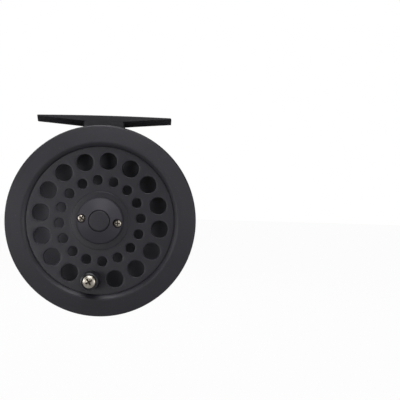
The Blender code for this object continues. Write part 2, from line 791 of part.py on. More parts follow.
def make_foot(finish, nickel, cage, frame):
    shape = bmesh.new()
    stations = (-1.0, -0.85, -0.6, -FOOT_ROOT_X / FOOT_HALF_LENGTH)
    stations += tuple(-s for s in reversed(stations))
    rings = [foot_section(shape, s * FOOT_HALF_LENGTH) for s in stations]
    for near, far in zip(rings, rings[1:]):
        for i in range(len(near)):
            j = (i + 1) % len(near)
            shape.faces.new((near[i], near[j], far[j], far[i]))
    shape.faces.new(rings[0])
    shape.faces.new(rings[-1])
    bmesh.ops.recalc_face_normals(shape, faces=shape.faces)
    foot = place("reel_foot", shape, finish, None)
    half = PEDESTAL_HALF_WIDTH
    block = [(-half, 36), (half, 36), (half - 0.8, AXIS_DROP - 2), (-half + 0.8, AXIS_DROP - 2)]
    join(foot, cut_out("pedestal", block, PEDESTAL_FRONT, PEDESTAL_BACK, None, frame))
    cut(foot, shaft("saddle", CAGE_OUT_R + GAP, -20, 20, (0, 0), frame, 96))
    for side, word in ((-1, "left"), (1, "right")):
        axis = pivot(f"foot_screw_axis_{word}", side * FOOT_SCREW_X, 0, frame)
        axis.rotation_euler = (math.pi / 2, 0, 0)
        hole = shaft(f"foot_screw_hole_{word}", 1.2, 36, AXIS_DROP - 2.3, (0, 0), axis, 12)
        cut(cage, hole)
        cut(foot, hole)
        screw(f"foot_screw_{word}", 1.7, 36.6, 37.8, AXIS_DROP - 2.7, 0.9, nickel, axis, 14)


def main():
    clear_scene()
    moulded = material("moulded_graphite", (0.04, 0.04, 0.043), 0.55)
    gloss = material("black_enamel", (0.012, 0.012, 0.013), 0.25)
    nickel = material("nickel_plate", (0.75, 0.74, 0.71), 0.22, 1.0)
    chrome = material("chrome", (0.8, 0.8, 0.82), 0.08, 1.0)
    steel = material("steel", (0.5, 0.5, 0.51), 0.35, 1.0)
    brass = material("brass", (0.72, 0.53, 0.22), 0.3, 1.0)
    rubber = material("rubber", (0.02, 0.02, 0.02), 0.8)
    lining = material("lining", (0.28, 0.17, 0.09), 0.9)

    frame = pivot("frame_axis", 0, -AXIS_DROP)
    spool = pivot("spool_axis", 0, -AXIS_DROP, None, SPOOL_TURN)
    handle = pivot("handle_axis", 0, -BIG_PITCH_R, spool)
    knob = pivot("knob_axis", 0, KNOB_HEIGHT, frame)
    pawl = pivot("pawl_axis", *PAWL_PIVOT, frame)

    make_rim(moulded, spool)
    make_face(moulded, spool)
    make_arbor(moulded, spool)
    make_bush(brass, spool)
    make_gear(brass, frame)
    make_hub(moulded, nickel, spool)
    make_button(moulded, spool)
    make_latch(steel, spool)
    make_latch_spring(steel, spool)
    make_handle(moulded, nickel, brass, handle)

    guard_seat = make_guard(chrome, frame)
    cage = make_cage(gloss, guard_seat, frame)
    plate = make_plate(moulded, frame)
    make_cage_screws(steel, cage, plate, frame)
    make_spindle(steel, frame)
    make_foot(moulded, nickel, cage, frame)
    make_knob(moulded, brass, steel, rubber, lining, knob)
    make_pawl(brass, steel, frame, pawl)


main()
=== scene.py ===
import json
import math

import bmesh
import bpy
import numpy as np
from mathutils import Matrix


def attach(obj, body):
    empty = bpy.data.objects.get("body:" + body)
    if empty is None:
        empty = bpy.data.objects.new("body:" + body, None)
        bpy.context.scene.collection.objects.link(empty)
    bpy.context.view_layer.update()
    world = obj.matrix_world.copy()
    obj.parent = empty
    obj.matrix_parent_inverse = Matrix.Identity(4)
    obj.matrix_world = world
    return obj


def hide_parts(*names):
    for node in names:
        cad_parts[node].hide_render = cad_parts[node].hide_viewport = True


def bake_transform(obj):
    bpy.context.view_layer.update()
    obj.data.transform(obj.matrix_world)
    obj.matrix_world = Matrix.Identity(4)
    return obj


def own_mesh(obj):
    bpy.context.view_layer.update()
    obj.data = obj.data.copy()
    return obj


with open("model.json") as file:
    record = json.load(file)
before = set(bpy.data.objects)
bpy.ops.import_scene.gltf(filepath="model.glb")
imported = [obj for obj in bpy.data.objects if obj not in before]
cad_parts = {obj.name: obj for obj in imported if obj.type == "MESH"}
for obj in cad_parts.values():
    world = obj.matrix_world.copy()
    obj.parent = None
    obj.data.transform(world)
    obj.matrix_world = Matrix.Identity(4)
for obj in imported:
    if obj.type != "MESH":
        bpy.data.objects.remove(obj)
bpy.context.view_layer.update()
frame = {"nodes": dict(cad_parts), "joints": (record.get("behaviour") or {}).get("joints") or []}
mm = 0.001
weld = 0.0004 * mm  # points nearer than this become one
fullTurn = 2 * math.pi
joints = {joint["name"]: joint for joint in frame["joints"]}
print("frame loaded:", len(frame["nodes"]), "nodes")


def jointPlace(name):  # a hinge's point as (x, z) in millimetres
    place = joints[name]["pos_m"]
    return place[0] / mm, place[2] / mm


spoolAxis = jointPlace("spool_spin")
handleAxis = jointPlace("handle_spin")
knobAxis = jointPlace("drag_turn")
handleReach = (handleAxis[0] - spoolAxis[0], handleAxis[1] - spoolAxis[1])
spoolTurn = math.atan2(-handleReach[0], -handleReach[1])  # clockwise seen from the front, handle straight down at 0


# Surfaces

def around(steps):  # angles spaced evenly round a circle
    return np.linspace(0, fullTurn, steps, endpoint=False)


def smooth(low, high, value):
    t = np.clip((value - low) / (high - low), 0, 1)
    return t * t * (3 - 2 * t)


def filleted(corners, steps=7):
    # closed outline of (r, y, radius) corners: each corner becomes an arc tangent to its two sides
    points = np.array([corner[:2] for corner in corners], float)
    radii = [corner[2] if len(corner) > 2 else 0.0 for corner in corners]
    rounded = []
    for here, before, after, radius in zip(points, np.roll(points, 1, 0), np.roll(points, -1, 0), radii):
        if radius <= 0:
            rounded.append(here[None])
            continue
        back, ahead = before - here, after - here
        backLength, aheadLength = np.linalg.norm(back), np.linalg.norm(ahead)
        back, ahead = back / backLength, ahead / aheadLength
        half = math.acos(np.clip(back @ ahead, -1, 1)) / 2
        cut = min(radius / math.tan(half), 0.49 * backLength, 0.49 * aheadLength)  # at most half of a side
        t = np.linspace(0, 1, steps)[:, None]
        start, end = here + back * cut, here + ahead * cut
        weight = math.sin(half)  # a rational quadratic with this middle weight is an exact arc
        bottom = (1 - t) ** 2 + 2 * weight * t * (1 - t) + t ** 2
        rounded.append(((1 - t) ** 2 * start + 2 * weight * t * (1 - t) * here + t ** 2 * end) / bottom)
    return np.concatenate(rounded)


def evenly(profile, longest):  # long straight runs of a closed profile split into short ones
    runs = zip(profile, np.roll(profile, -1, 0))
    counts = [(a, b, 1 + int(np.hypot(*(b - a)) / longest)) for a, b in runs]
    return np.concatenate([np.linspace(a, b, count, endpoint=False) for a, b, count in counts])


def walkedEvenly(line, count, endpoint):  # points spaced evenly along a line of (u, v) points
    walked = np.concatenate([[0], np.cumsum(np.linalg.norm(np.diff(line, axis=0), axis=1))])
    even = np.linspace(0, walked[-1], count, endpoint=endpoint)
    return np.stack([np.interp(even, walked, line[:, 0]), np.interp(even, walked, line[:, 1])], -1)


def gridFaces(rows, columns, wrapRows, wrapColumns, first=0):
    # quads between neighbouring rows and columns, the last joined to the first where it wraps
    i = np.arange(rows if wrapRows else rows - 1)[:, None]
    j = np.arange(columns if wrapColumns else columns - 1)[None]
    i2, j2 = (i + 1) % rows, (j + 1) % columns
    corners = [i * columns + j, i * columns + j2, i2 * columns + j2, i2 * columns + j]
    return first + np.stack(np.broadcast_arrays(*corners), -1).reshape(-1, 4)


def settle(mesh, sharp=32):
    # poles and seams are merged, the faces turned outwards, and edges over the sharp angle stay crisp
    shape = bmesh.new()
    shape.from_mesh(mesh)
    bmesh.ops.remove_doubles(shape, verts=shape.verts, dist=weld)
    bmesh.ops.recalc_face_normals(shape, faces=shape.faces)
    shape.to_mesh(mesh)
    shape.free()
    mesh.shade_smooth()
    mesh.set_sharp_from_angle(angle=math.radians(sharp))


def meshPiece(name, grids, sharp=32):
    # grids: (points in mm as rows x columns x 3, wrapRows, wrapColumns), joined into one mesh
    points, faces, first = [], [], 0
    for grid, wrapRows, wrapColumns in grids:
        points.append(grid.reshape(-1, 3) * mm)
        faces.append(gridFaces(grid.shape[0], grid.shape[1], wrapRows, wrapColumns, first))
        first += len(points[-1])
    mesh = bpy.data.meshes.new(name)
    mesh.from_pydata(np.concatenate(points), [], np.concatenate(faces).tolist())
    settle(mesh, sharp)
    piece = bpy.data.objects.new(name, mesh)
    bpy.context.scene.collection.objects.link(piece)
    return piece


def spun(profile, centre, steps=224):
    # profile (r, y) turned about the Y line through centre: x = cx + r sin(turn), z = cz + r cos(turn)
    turn = around(steps)[None]
    r, y = profile[:, :1], profile[:, 1:]
    x, z = centre[0] + r * np.sin(turn), centre[1] + r * np.cos(turn)
    return np.stack([x, np.broadcast_to(y, x.shape), z], -1)


def lathe(name, profile, centre, steps=224, sharp=32):
    return meshPiece(name, [(spun(profile, centre, steps), True, True)], sharp)


def drill(name, radius, front, back, centre, steps=96):
    profile = np.array([(0, front), (radius, front), (radius, back), (0, back)], float)
    return lathe(name, profile, centre, steps)


def tube(path, ahead, out, radius, steps):
    # a round rod along a path: each ring lies in the plane of the outward way and of the way across
    ahead = ahead / np.linalg.norm(ahead, axis=1)[:, None]
    across = np.cross(ahead, out)
    turn = around(steps)[None, :, None]
    return path[:, None] + radius * (np.cos(turn) * out[:, None] + np.sin(turn) * across[:, None])


def capped(rows):  # the ends of a tube drawn together to a point in their middle
    first, last = (np.broadcast_to(row.mean(0), (1, *row.shape)) for row in (rows[0], rows[-1]))
    return np.concatenate([first, rows, last])


def bored(piece, cutters, operation="DIFFERENCE"):
    # cutters are joined to or taken from the piece, and the result is kept as its mesh
    for cutter in cutters:
        step = piece.modifiers.new(cutter.name, "BOOLEAN")
        step.object, step.operation, step.solver = cutter, operation, "MANIFOLD"
    graph = bpy.context.evaluated_depsgraph_get()
    made = bpy.data.meshes.new_from_object(piece.evaluated_get(graph))
    piece.modifiers.clear()
    piece.data = made
    for cutter in cutters:
        bpy.data.objects.remove(cutter)
    settle(made)
    return piece


def onSpool(x, z):  # a place on the spool, given with the handle straight down, turned as the spool rests
    return (spoolAxis[0] + x * math.cos(spoolTurn) + z * math.sin(spoolTurn),
            spoolAxis[1] - x * math.sin(spoolTurn) + z * math.cos(spoolTurn))


# Finishes

def linear(hexCode):  # sRGB hex to linear RGBA
    parts = np.array([int(hexCode[i:i + 2], 16) / 255 for i in (1, 3, 5)])
    flat = np.where(parts <= 0.04045, parts / 12.92, ((parts + 0.055) / 1.055) ** 2.4)
    return (*flat.tolist(), 1.0)


def addNode(tree, kind, inputs=None, **settings):
    made = tree.nodes.new(kind)
    for key, value in settings.items():
        setattr(made, key, value)
    for key, value in (inputs or {}).items():
        if isinstance(value, bpy.types.NodeSocket):
            tree.links.new(value, made.inputs[key])
        else:
            made.inputs[key].default_value = value
    return made


def newFinish(name):
    made = bpy.data.materials.new(name)
    made.use_nodes = True
    tree = made.node_tree
    shader = tree.nodes["Principled BSDF"]
    coords = addNode(tree, "ShaderNodeTexCoord").outputs["Object"]
    return made, tree, shader, coords


def link(tree, output, shader, socket):
    tree.links.new(output, shader.inputs[socket])


def noise(tree, coords, size, detail):  # a pattern of the given real size in mm
    inputs = {"Vector": coords, "Scale": 1 / (size * mm), "Detail": detail}
    return addNode(tree, "ShaderNodeTexNoise", inputs).outputs["Fac"]


def mixed(tree, share, low, high):  # from one colour to another
    return addNode(tree, "ShaderNodeMix", {"Factor": share, "A": low, "B": high}, data_type="RGBA").outputs["Result"]


def ranged(tree, value, before, after):  # a range of values carried over to another
    inputs = {"Value": value, "From Min": before[0], "From Max": before[1], "To Min": after[0], "To Max": after[1]}
    return addNode(tree, "ShaderNodeMapRange", inputs).outputs["Result"]


def bumped(tree, height, depth, strength):  # relief of the given depth in mm
    inputs = {"Height": height, "Distance": depth * mm, "Strength": strength}
    return addNode(tree, "ShaderNodeBump", inputs).outputs["Normal"]


# Graphite-filled nylon, moulded in a spark-eroded tool: even charcoal, soft sheen, fine pebbled grain, a little dust.
# The real grain is near 0.1 mm, too fine to show, so it is drawn three times coarser.
moulded = {"cloud": 11, "cloudSpan": (0.3, 0.7), "grain": 0.32, "grainDepth": 0.012, "grainStrength": 0.6,
           "dust": 0.9, "dustSpan": (0.70, 0.80), "dustCover": (0.0, 0.12), "dustColour": "#6c6a66"}


def mouldedGraphite(name, dark, pale, roughLow, roughHigh):
    made, tree, shader, coords = newFinish(name)
    cloud = noise(tree, coords, moulded["cloud"], 3.0)
    grain = noise(tree, coords, moulded["grain"], 2.0)
    dust = ranged(tree, noise(tree, coords, moulded["dust"], 1.0), moulded["dustSpan"], moulded["dustCover"])
    tone = mixed(tree, cloud, linear(dark), linear(pale))
    link(tree, mixed(tree, dust, tone, linear(moulded["dustColour"])), shader, "Base Color")
    link(tree, ranged(tree, cloud, moulded["cloudSpan"], (roughLow, roughHigh)), shader, "Roughness")
    link(tree, bumped(tree, grain, moulded["grainDepth"], moulded["grainStrength"]), shader, "Normal")
    return made


# Baked black enamel on the cage: deep black, glossy, faint orange peel about 1.2 mm across.
baked = {"dark": "#141416", "pale": "#1d1d20", "haze": 7, "rough": (0.14, 0.30), "peel": 1.2, "peelDepth": 0.01,
         "peelStrength": 0.5}


def bakedEnamel():
    made, tree, shader, coords = newFinish("baked_black_enamel")
    peel = noise(tree, coords, baked["peel"], 1.0)
    haze = noise(tree, coords, baked["haze"], 2.0)
    link(tree, mixed(tree, haze, linear(baked["dark"]), linear(baked["pale"])), shader, "Base Color")
    link(tree, ranged(tree, haze, (0.0, 1.0), baked["rough"]), shader, "Roughness")
    link(tree, bumped(tree, peel, baked["peelDepth"], baked["peelStrength"]), shader, "Normal")
    return made


# Metals: plated or turned. Fine handling marks of the given size break up the reflection, and a screw's cross is
# darkened with painted shade.
# the dark colour laid in a screw's cross is painted shade
marked = {"span": (0.3, 0.7), "strength": 0.4, "paintedShadeColour": "#4e493f"}


def metal(name, dark, pale, roughLow, roughHigh, markSize, markDepth):
    made, tree, shader, coords = newFinish(name)
    marks = noise(tree, coords, markSize, 4.0)
    tone = mixed(tree, marks, linear(dark), linear(pale))
    paintedShade = addNode(tree, "ShaderNodeAttribute", attribute_name="paintedShade").outputs["Fac"]  # painted shade on the floor of a screw's cross
    link(tree, mixed(tree, paintedShade, tone, linear(marked["paintedShadeColour"])), shader, "Base Color")
    link(tree, ranged(tree, marks, marked["span"], (roughLow, roughHigh)), shader, "Roughness")
    link(tree, bumped(tree, marks, markDepth, marked["strength"]), shader, "Normal")
    shader.inputs["Metallic"].default_value = 1.0
    return made


# Soft dark pieces: nitrile rubber and pressed lining, dull, with a crumbly grain.
pressed = {"grainDepth": 0.03, "grainStrength": 0.7}


def dullPressed(name, dark, pale, rough, grainSize):
    made, tree, shader, coords = newFinish(name)
    grain = noise(tree, coords, grainSize, 3.0)
    link(tree, mixed(tree, grain, linear(dark), linear(pale)), shader, "Base Color")
    link(tree, bumped(tree, grain, pressed["grainDepth"], pressed["grainStrength"]), shader, "Normal")
    shader.inputs["Roughness"].default_value = rough
    return made


graphite = mouldedGraphite("moulded_graphite_nylon", "#1b1a1f", "#201f25", 0.44, 0.52)  # charcoal, satin
graphiteFace = mouldedGraphite("moulded_graphite_face", "#19181d", "#1d1c22", 0.34, 0.40)  # a little shinier
graphiteInnerPaintedLight = mouldedGraphite("moulded_graphite_inner_painted_light", "#38383d", "#414147", 0.5, 0.6)  # paler: painted light, standing in for the light that reaches the inside behind the holes
graphiteFoot = mouldedGraphite("moulded_graphite_foot", "#101014", "#151418", 0.60, 0.68)  # darker, dull
graphiteCapPaintedLight = mouldedGraphite("moulded_graphite_cap_painted_light", "#29282e", "#2f2e34", 0.56, 0.64)  # greyer, dull: the paler tone is painted light, standing in for light bounced up from below
graphiteHandle = mouldedGraphite("moulded_handle_nylon", "#131217", "#19181d", 0.30, 0.36)  # polished by fingers
enamel = bakedEnamel()
nickel = metal("bright_nickel_plate", "#a8a294", "#c9c3b5", 0.26, 0.40, 0.8, 0.008)  # warm and silvery
chrome = metal("chrome_plate", "#cfd1d4", "#e0e1e3", 0.05, 0.12, 1.5, 0.002)  # bright, like a mirror
steel = metal("turned_steel", "#8d8e90", "#a5a6a8", 0.28, 0.42, 0.5, 0.006)  # plain grey
brass = metal("turned_brass", "#b18a45", "#c9a35a", 0.24, 0.40, 0.5, 0.006)  # yellow
rubber = dullPressed("nitrile_rubber", "#161616", "#1f1f1f", 0.75, 0.4)  # black
lining = dullPressed("pressed_lining", "#4a3523", "#6a4d33", 0.9, 0.5)  # brown
print("finishes made")


def fit(piece, body, finish, slot, *nodes):
    piece.data.materials.clear()
    piece.data.materials.append(finish)
    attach(piece, body)
    if nodes:
        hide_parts(*nodes)


# Palming rim: a turned outline of groove, inner slope, crest, broad cone, rounded edge, skirt and hollow back
rim = {"radius": 43.0, "grooveR": 33.32, "grooveY": -9.9, "lipR": 33.9, "lipY": -10.6, "crestR": 35.1,
       "crestY": -11.6, "edgeR": 42.6, "edgeY": -10.1, "edgeDrop": 0.9, "skirtY": -4.5, "hollowR": 41.4,
       "hollowY": -8.9, "webR": 36.9, "webY": -9.9, "stepR": 34.9, "stepY": -6.2, "ledgeR": 31.3, "ledgeY": -7.7}


def makeRim():
    corners = [(rim["grooveR"], rim["grooveY"], 0.1), (rim["lipR"], rim["lipY"], 0.6),
               (rim["crestR"], rim["crestY"], 3.0), (rim["edgeR"], rim["edgeY"], 0.7),
               (rim["radius"], rim["edgeY"] + rim["edgeDrop"], 0.5), (rim["radius"], rim["skirtY"], 0.6),
               (rim["hollowR"], rim["skirtY"], 0.4), (rim["hollowR"], rim["hollowY"], 0.6),
               (rim["webR"], rim["webY"], 0.6), (rim["stepR"], rim["stepY"], 0.3),
               (rim["ledgeR"], rim["stepY"], 0.2), (rim["ledgeR"], rim["ledgeY"]), (rim["grooveR"], rim["ledgeY"])]
    turned = lathe("palmingRim", filleted(corners, steps=14), spoolAxis, steps=288)
    fit(turned, "spool", graphite, "moulded_graphite", "palming_rim")


# Drilled face: each hole has a cell of the disc, and rows run from the cell's edge to the hole and through it
face = {"front": -10.0, "back": -8.0, "radius": 33.25, "bossR": 13.0, "bossFront": -10.25, "bossSlope": 0.05,
        "boreR": 6.3, "count": 16, "perSide": 16, "edge": 0.3, "edgeRows": 6,
        "big": {"pitch": 26.9, "radius": 3.78, "inner": 22.2, "outer": 32.2},
        "small": {"pitch": 18.3, "radius": 2.15, "inner": 14.6, "outer": 22.2},
        "handleHoleR": 2.7, "handlePlace": 8}


def cellRows(ring, middle, radius):
    # cell edge: four sides of perSide points in (distance from the axis, angle), walked once round
    n, half = face["perSide"], math.pi / face["count"]
    up, down = np.linspace(-1, 1, n, endpoint=False), np.linspace(1, -1, n, endpoint=False)
    one = np.ones(n)
    side = np.concatenate([up, one, down, -one])  # along the angle
    out = np.concatenate([-one, up, one, down])  # along the distance
    distance = (ring["outer"] + ring["inner"]) / 2 + out * (ring["outer"] - ring["inner"]) / 2
    angle = middle + side * half
    edge = np.stack([distance * np.sin(angle), distance * np.cos(angle)], -1)
    centre = ring["pitch"] * np.array([math.sin(middle), math.cos(middle)])
    way = edge - centre
    way /= np.linalg.norm(way, axis=1)[:, None]
    # rows: flat front, quarter-round lip, wall, quarter-round lip, flat back
    lip = np.linspace(0, math.pi / 2, face["edgeRows"])
    reach = radius + face["edge"] * (1 - np.sin(lip))
    frontLip = np.stack([reach, face["front"] + face["edge"] * (1 - np.cos(lip))], -1)
    backLip = np.stack([reach[::-1], face["back"] - face["edge"] * (1 - np.cos(lip[::-1]))], -1)
    lipRows = np.concatenate([frontLip, backLip])
    circles = centre + way * lipRows[:, :1, None]
    depth = np.concatenate([[face["front"]] * 2, lipRows[:, 1], [face["back"]] * 2])
    near = centre + way * (radius + face["edge"])
    halfway = 0.5 * edge + 0.5 * near
    flat = np.concatenate([edge[None], halfway[None], circles, halfway[None], edge[None]])
    y = np.broadcast_to(depth[:, None], flat.shape[:2])
    return np.stack([flat[..., 0], y, flat[..., 1]], -1)


def makeFace():
    step = fullTurn / face["count"]
    grids = []
    for i in range(face["count"]):
        radius = face["big"]["radius"] if i != face["handlePlace"] else face["handleHoleR"]
        grids.append((cellRows(face["big"], i * step, radius), False, True))
        grids.append((cellRows(face["small"], (i + 0.5) * step, face["small"]["radius"]), False, True))
    steps = face["count"] * face["perSide"]
    outer, inner = face["big"]["outer"], face["small"]["inner"]
    lipped = filleted([(outer, face["front"]), (face["radius"], face["front"], 0.25),
                       (face["radius"], face["back"], 0.2), (outer, face["back"])])
    boss = filleted([(inner, face["back"]), (face["boreR"], face["back"], 0.1),
                     (face["boreR"], face["bossFront"], 0.1), (face["bossR"], face["bossFront"], 0.12),
                     (face["bossR"] + face["bossSlope"], face["front"], 0.1), (inner, face["front"])])
    grids.append((spun(lipped, (0, 0), steps), False, True))
    grids.append((spun(boss, (0, 0), steps), False, True))
    turned = []
    for grid, wrapRows, wrapColumns in grids:
        x, z = onSpool(grid[..., 0], grid[..., 2])
        turned.append((np.stack([x, grid[..., 1], z], -1), wrapRows, wrapColumns))
    fit(meshPiece("spoolFace", turned), "spool", graphiteFace, "moulded_graphite", "spool_face")


# Arbor: drum, rear flange and brake ring in one turned outline
arbor = {"boreR": 6.3, "drumR": 15.0, "drumFront": -7.7, "hollowR": 13.0, "flangeR": 37.6, "front": 4.5, "back": 6.0,
         "ringR": 12.0, "ringInR": 10.5, "ringBack": 8.0}


def makeArbor():
    corners = [(arbor["boreR"], arbor["front"]), (arbor["hollowR"], arbor["front"], 0.4),
               (arbor["hollowR"], arbor["drumFront"]), (arbor["drumR"], arbor["drumFront"]),
               (arbor["drumR"], arbor["front"], 1.2), (arbor["flangeR"], arbor["front"], 0.7),
               (arbor["flangeR"], arbor["back"], 0.6), (arbor["ringR"], arbor["back"], 0.3),
               (arbor["ringR"], arbor["ringBack"], 0.3), (arbor["ringInR"], arbor["ringBack"], 0.3),
               (arbor["ringInR"], arbor["back"]), (arbor["boreR"], arbor["back"])]
    turned = lathe("spoolArbor", filleted(corners), spoolAxis)
    fit(turned, "spool", graphiteInnerPaintedLight, "moulded_graphite", "spool_arbor")


# Hub: domed cap with two counterbored screws, and the round release button
hub = {"capR": 10.4, "capBack": -10.31, "capEdge": -11.6, "capTop": -14.6, "shoulderIn": 0.4, "shoulderRise": 0.6,
       "pocketR": 6.3, "pocketTop": -13.6, "gap": 0.14, "gapEdge": 0.3, "gapDrop": 0.15,
       "screwR": 8.1, "boreR": 2.02, "boreFloor": -11.5, "throughR": 1.0, "cutFront": -17.0, "cutBack": -10.0,
       "buttonR": 4.6, "buttonTop": -15.4, "buttonDip": 0.02, "buttonFall": 0.12,
       "flangeR": 5.6, "flangeFront": -13.3, "flangeBack": -12.8, "socketR": 3.4, "socketTop": -13.9}
hubScrew = {"headR": 1.62, "top": -12.7, "seat": -11.8, "tip": -8.4, "shankR": 0.7, "cross": 0.7, "turn": 0.5}


def makeHub():
    gapR = hub["buttonR"] + hub["gap"]
    corners = [(hub["pocketR"], hub["capBack"]), (hub["capR"], hub["capBack"], 0.1),
               (hub["capR"], hub["capEdge"], 0.5),
               (hub["capR"] - hub["shoulderIn"], hub["capEdge"] - hub["shoulderRise"], 0.8),
               (gapR + hub["gapEdge"], hub["capTop"], 0.4), (gapR, hub["capTop"] + hub["gapDrop"], 0.1),
               (gapR, hub["pocketTop"]), (hub["pocketR"], hub["pocketTop"])]
    cap = lathe("hubCap", filleted(corners, steps=9), spoolAxis, steps=192)
    stepped = np.array([(0, hub["cutFront"]), (hub["boreR"], hub["cutFront"]), (hub["boreR"], hub["boreFloor"]),
                        (hub["throughR"], hub["boreFloor"]), (hub["throughR"], hub["cutBack"]), (0, hub["cutBack"])])
    cutters = [lathe(f"counterbore{side}", stepped, onSpool(side * hub["screwR"], 0), steps=90) for side in (-1, 1)]
    fit(bored(cap, cutters), "spool", graphiteCapPaintedLight, "moulded_graphite", "hub_cap")
    for side, word in ((-1, "left"), (1, "right")):
        sizes = {**hubScrew, "turn": hubScrew["turn"] + side}
        screw = crossScrew("hubScrew" + word.capitalize(), onSpool(side * hub["screwR"], 0), sizes)
        fit(screw, "spool", nickel, "nickel_plate", "hub_screw_" + word)
    corners = [(0, hub["buttonTop"] + hub["buttonDip"]), (hub["buttonR"], hub["buttonTop"] + hub["buttonFall"], 0.55),
               (hub["buttonR"], hub["flangeFront"]), (hub["flangeR"], hub["flangeFront"]),
               (hub["flangeR"], hub["flangeBack"]), (hub["socketR"], hub["flangeBack"]),
               (hub["socketR"], hub["socketTop"]), (0, hub["socketTop"])]
    button = lathe("releaseButton", filleted(corners, steps=9), spoolAxis, steps=160)
    fit(button, "button", graphite, "moulded_graphite", "release_button")


# Screw head: shares of the head's radius or thickness, unless a count or a power
screwHead = {"turned": 0.985, "fall": 0.55, "power": 2.4, "edge": 0.66, "armWidth": 0.2, "blur": 0.04, "deep": 0.75,
             "shallower": 0.4, "paintedShadeDeep": 0.5, "paintedShadeR": 0.9, "rows": 44, "steps": 160, "tipLength": 0.5, "tipR": 0.4}


def crossScrew(name, centre, sizes):
    # domed head whose top is pushed in along a cross; outside it, the outline of head, shank and tip is turned
    headR, top, seat, tip, shankR = (sizes[key] for key in ("headR", "top", "seat", "tip", "shankR"))
    thick, edgeR = seat - top, headR * screwHead["turned"]

    def dome(r):  # the head falls away from its middle with a power of the distance
        return top + screwHead["fall"] * thick * (r / headR) ** screwHead["power"]

    r = np.linspace(0, 1, screwHead["rows"])[:, None] * edgeR
    angle = around(screwHead["steps"])[None]
    u, v = r * np.cos(angle + sizes["turn"]), r * np.sin(angle + sizes["turn"])
    near, far = np.minimum(abs(u), abs(v)), np.maximum(abs(u), abs(v))
    arm, blur = sizes["cross"] * headR, screwHead["blur"] * headR
    width = screwHead["armWidth"] * arm
    inside = (1 - smooth(width - blur, width + blur, near)) * (1 - smooth(arm - 2 * blur, arm + 2 * blur, far))
    y = dome(r) + inside * screwHead["deep"] * thick * (1 - screwHead["shallower"] * far / arm)
    upper = np.stack([centre[0] + r * np.sin(angle), y, centre[1] + r * np.cos(angle)], -1)
    rest = filleted([(edgeR, dome(edgeR)), (headR, top + screwHead["edge"] * thick, 0.06), (headR, seat, 0.05),
                     (shankR, seat), (shankR, tip - screwHead["tipLength"]), (shankR * screwHead["tipR"], tip),
                     (0, tip)], steps=4)
    lower = spun(rest, centre, screwHead["steps"])
    piece = meshPiece(name, [(upper, False, True), (lower, False, True)])
    # painted shade: how far a point lies below the head's own dome, 1 on the floor of the cross, where the cross is
    # darkened
    spots = np.empty(len(piece.data.vertices) * 3, np.float32)
    piece.data.vertices.foreach_get("co", spots)
    spots = spots.reshape(-1, 3) / mm
    span = np.hypot(spots[:, 0] - centre[0], spots[:, 2] - centre[1])
    deep = np.clip((spots[:, 1] - dome(span)) / (screwHead["paintedShadeDeep"] * thick), 0, 1)
    paintedShade = np.where(span < screwHead["paintedShadeR"] * headR, deep, 0) * (spots[:, 1] < seat)
    piece.data.attributes.new("paintedShade", "FLOAT", "POINT").data.foreach_set("value", paintedShade.astype(np.float32))
    return piece


# Handle: a tapered knob turning on its sleeve, held by a domed cross-head screw
handle = {"baseR": 4.15, "endR": 3.9, "base": -10.3, "end": -21.2, "waist": 0.12, "waistFrom": -13.4,
          "waistTo": -18.2, "boreR": 2.3, "recessR": 3.2, "recess": 0.9, "bevel": 0.36}
handleScrew = {"headR": 2.75, "top": handle["end"] - 1.3, "seat": handle["end"] + 0.2, "tip": -7.4, "shankR": 1.1,
               "cross": 0.55, "turn": 0.55}


def makeHandle():
    corners = [(handle["boreR"], handle["base"]), (handle["baseR"], handle["base"], 0.4),
               (handle["baseR"] - handle["waist"], handle["waistFrom"], 4),
               (handle["endR"] + handle["waist"], handle["waistTo"], 4),
               (handle["endR"], handle["end"] + handle["bevel"], 0.2), (handle["recessR"], handle["end"], 0.1),
               (handle["recessR"], handle["end"] + handle["recess"]),
               (handle["boreR"], handle["end"] + handle["recess"])]
    turned = lathe("handleKnob", filleted(corners, steps=9), handleAxis, steps=128)
    fit(turned, "handle", graphiteHandle, "moulded_graphite", "handle_knob")
    screw = crossScrew("handleScrew", handleAxis, handleScrew)
    fit(screw, "spool", nickel, "nickel_plate", "handle_screw")


# Foot: slices across the rod, flat seat, upright sides and a keel; a pedestal saddled to the cage
foot = {"half": 30.4, "width": 5.0, "tipWidth": 4.0, "thick": 4.8, "tipThick": 2.8, "root": 9.4, "keel": 0.3,
        "slope": 2.3, "bow": 0.3, "endRound": 0.35, "endShrink": 0.12, "endRows": 4, "slices": 121,
        "lip": (0.965, 0.99, 1.0), "lipDrop": (0.0, 0.06, 0.16), "sidePoints": 12, "keelPoints": 4,
        "pedestalHalf": 9.2, "pedestalDepth": 4.97, "pedestalTop": -0.6, "pedestalEnd": -11.5, "pedestalRows": 40,
        "pedestalPoints": 96, "squareness": 16, "saddleR": 40.7, "reliefR": 43.3, "reliefBack": -4.2, "cut": 20}


def bothSides(half, sign=1):  # one side of a slice and its mirror image, the middle only once
    return np.concatenate([half, sign * half[-2::-1]])


